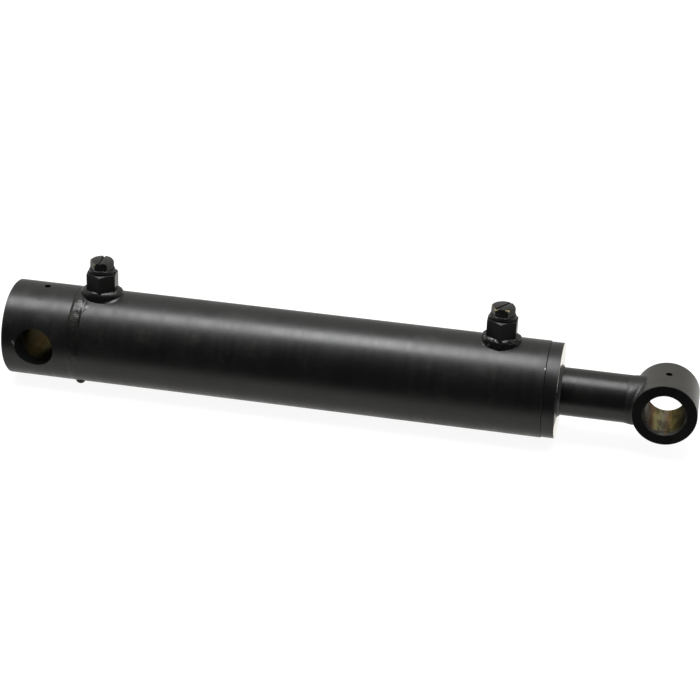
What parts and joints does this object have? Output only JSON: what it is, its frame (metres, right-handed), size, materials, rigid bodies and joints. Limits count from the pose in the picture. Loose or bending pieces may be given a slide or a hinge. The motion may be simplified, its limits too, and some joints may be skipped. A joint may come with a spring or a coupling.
{
  "type": "hydraulic cylinder",
  "caption": "Double-acting welded hydraulic cylinder with a cross-bored base, a cross-tube rod eye, a screw-in gland and plugged ports.",
  "frame": {"origin": "centre of the base pin bore", "axes": "+X along the cylinder towards the rod eye, +Y along both pin bores, +Z out through the two ports"},
  "size_m": [0.5277, 0.0738, 0.1008],
  "materials": {
    "black_paint": "satin black enamel",
    "painted_weld": "satin black enamel over a weld bead",
    "plug_finish": "yellow zinc under thin black paint",
    "copper_washer": "dull copper",
    "gland_finish": "black paint round a bare machined face",
    "nitrile_rubber": "smooth",
    "backup_plastic": "smooth",
    "guide_resin": "fine weave, matte",
    "seal_polyurethane": "smooth",
    "wiper_polyurethane": "smooth",
    "chromed_rod": "polished hard chrome, painted black at the neck",
    "piston_steel": "turned",
    "zinc_steel": "zinc plated"
  },
  "bodies": {
    "barrel": {"base_block": "black_paint", "barrel_tube": "black_paint", "seam_weld": "painted_weld", "base_port_boss": "black_paint", "base_port_weld": "painted_weld", "head_port_boss": "black_paint", "head_port_weld": "painted_weld", "gland": "gland_finish", "gland_o_ring": "nitrile_rubber", "gland_backup_ring": "backup_plastic", "rod_guide_ring": "guide_resin", "rod_seal": "seal_polyurethane", "rod_wiper": "wiper_polyurethane"},
    "piston_seals": {"piston_seal": "seal_polyurethane", "piston_seal_energiser": "nitrile_rubber", "piston_guide_rings": "guide_resin"},
    "rod": {"piston_rod": "chromed_rod", "rod_eye": "black_paint", "rod_eye_weld": "painted_weld", "piston": "piston_steel", "piston_o_ring": "nitrile_rubber", "piston_nut": "zinc_steel"},
    "base_seal": {"base_port_seal": "copper_washer"},
    "base_plug": {"base_port_plug": "plug_finish"},
    "head_seal": {"head_port_seal": "copper_washer"},
    "head_plug": {"head_port_plug": "plug_finish"}
  },
  "joints": [
    {"name": "rod_slide", "type": "slide", "parent": "barrel", "child": "piston_seals", "axis": [1, 0, 0], "range_m": [0, 0.25]},
    {"name": "rod_turn", "type": "hinge", "parent": "piston_seals", "child": "rod", "pos_m": [0.1, 0, 0], "axis": [1, 0, 0], "continuous": true},
    {"name": "base_plug_lift", "type": "slide", "parent": "barrel", "child": "base_seal", "axis": [0, 0, 1], "range_m": [0, 0.01203]},
    {"name": "base_plug_turn", "type": "hinge", "parent": "base_seal", "child": "base_plug", "pos_m": [0.0442, 0, 0.0553], "axis": [0, 0, 1], "range_deg": [0, 3240]},
    {"name": "head_plug_lift", "type": "slide", "parent": "barrel", "child": "head_seal", "axis": [0, 0, 1], "range_m": [0, 0.01203]},
    {"name": "head_plug_turn", "type": "hinge", "parent": "head_seal", "child": "head_plug", "pos_m": [0.3525, 0, 0.0553], "axis": [0, 0, 1], "range_deg": [0, 3240]}
  ],
  "couplings": [
    {"joint": "base_plug_turn", "follows": "base_plug_lift", "rad_per_m": 4699.5},
    {"joint": "head_plug_turn", "follows": "head_plug_lift", "rad_per_m": 4699.5}
  ]
}
